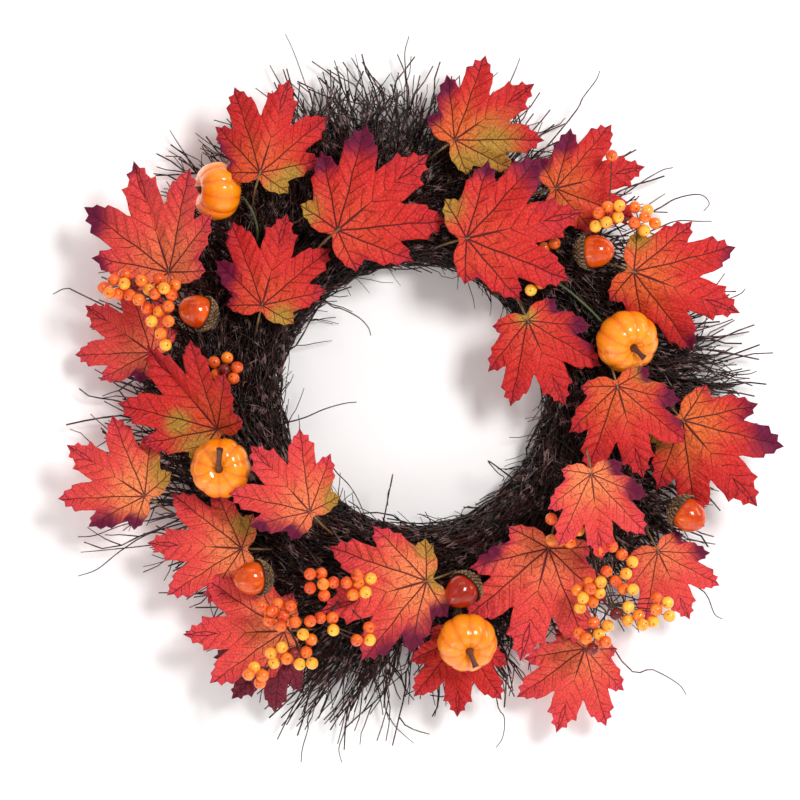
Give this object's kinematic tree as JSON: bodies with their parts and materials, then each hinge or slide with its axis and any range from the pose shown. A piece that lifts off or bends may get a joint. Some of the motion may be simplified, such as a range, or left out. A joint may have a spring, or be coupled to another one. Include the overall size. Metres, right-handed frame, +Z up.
{
  "type": "harvest door wreath",
  "caption": "Round twig wreath on a wire frame, dressed with lobed autumn leaves, small ribbed pumpkins, acorns and berry sprays, hung by a swinging wire loop.",
  "frame": {"origin": "point inside the top of the hanging loop where a nail or a hook carries the wreath", "axes": "+Z up, front faces -Y, the door is on the +Y side, +X to the right seen from the front"},
  "size_m": [0.5069, 0.102, 0.4858],
  "materials": {
    "frame_wire": "black enamelled wire",
    "loop_wire": "dark annealed wire",
    "binding_wire": "brown coated wire",
    "twigs": "dark fine twigs with grey glints",
    "leaf_fabric": "printed fabric, red to orange with fine dark veins",
    "leaf_dark": "maroon reverse of the printed fabric",
    "pumpkin_skin": "glossy painted foam",
    "pumpkin_stalk": "dark brown, matt",
    "acorn_nut": "glossy red orange",
    "acorn_cap": "dark scales with gold brown edges",
    "berry": "glossy berries, orange red to yellow"
  },
  "bodies": {
    "wreath": {"wire_frame": "frame_wire", "binding_wire": "binding_wire", "twig_bunch_top": "twigs", "twig_bunch_top_right": "twigs", "twig_bunch_right": "twigs", "twig_bunch_bottom_right": "twigs", "twig_bunch_bottom": "twigs", "twig_bunch_bottom_left": "twigs", "twig_bunch_left": "twigs", "twig_bunch_top_left": "twigs", "leaf_left_upper": "leaf_fabric", "leaf_left_inner": "leaf_fabric", "leaf_top_left": "leaf_fabric", "leaf_top_middle": "leaf_fabric", "leaf_top": "leaf_fabric", "leaf_top_inner": "leaf_fabric", "leaf_right_top": "leaf_fabric", "leaf_right_upper": "leaf_fabric", "leaf_right_inner": "leaf_fabric", "leaf_right_middle": "leaf_fabric", "leaf_right_outer": "leaf_fabric", "leaf_right_lower": "leaf_fabric", "leaf_bottom_right_outer": "leaf_fabric", "leaf_bottom_right_inner": "leaf_fabric", "leaf_bottom_right": "leaf_fabric", "leaf_under_pumpkin": "leaf_fabric", "leaf_bottom_middle": "leaf_fabric", "leaf_bottom_left_inner": "leaf_fabric", "leaf_left_middle": "leaf_fabric", "leaf_left_under": "leaf_fabric", "leaf_left_outer": "leaf_fabric", "leaf_left_lower": "leaf_fabric", "leaf_bottom_left_outer": "leaf_fabric", "leaf_bottom_left_dark": "leaf_dark", "pumpkin_upper_left": "pumpkin_skin", "pumpkin_upper_left_stalk": "pumpkin_stalk", "pumpkin_right": "pumpkin_skin", "pumpkin_right_stalk": "pumpkin_stalk", "pumpkin_left": "pumpkin_skin", "pumpkin_left_stalk": "pumpkin_stalk", "pumpkin_bottom": "pumpkin_skin", "pumpkin_bottom_stalk": "pumpkin_stalk", "acorn_left_nut": "acorn_nut", "acorn_left_cap": "acorn_cap", "acorn_right_upper_nut": "acorn_nut", "acorn_right_upper_cap": "acorn_cap", "acorn_bottom_left_nut": "acorn_nut", "acorn_bottom_left_cap": "acorn_cap", "acorn_bottom_nut": "acorn_nut", "acorn_bottom_cap": "acorn_cap", "acorn_right_lower_nut": "acorn_nut", "acorn_right_lower_cap": "acorn_cap", "berry_spray_left": "berry", "berry_spray_left_inner": "berry", "berry_spray_top_right": "berry", "berry_spray_top_inner": "berry", "berry_spray_bottom_inner": "berry", "berry_spray_bottom_left": "berry", "berry_spray_bottom_right": "berry"},
    "hanger": {"hanging_loop": "loop_wire"}
  },
  "joints": [
    {"name": "hanger_swing", "type": "hinge", "parent": "wreath", "child": "hanger", "pos_m": [0, -0.0029, -0.022], "axis": [-1, 0, 0], "range_deg": [0, 90]}
  ]
}
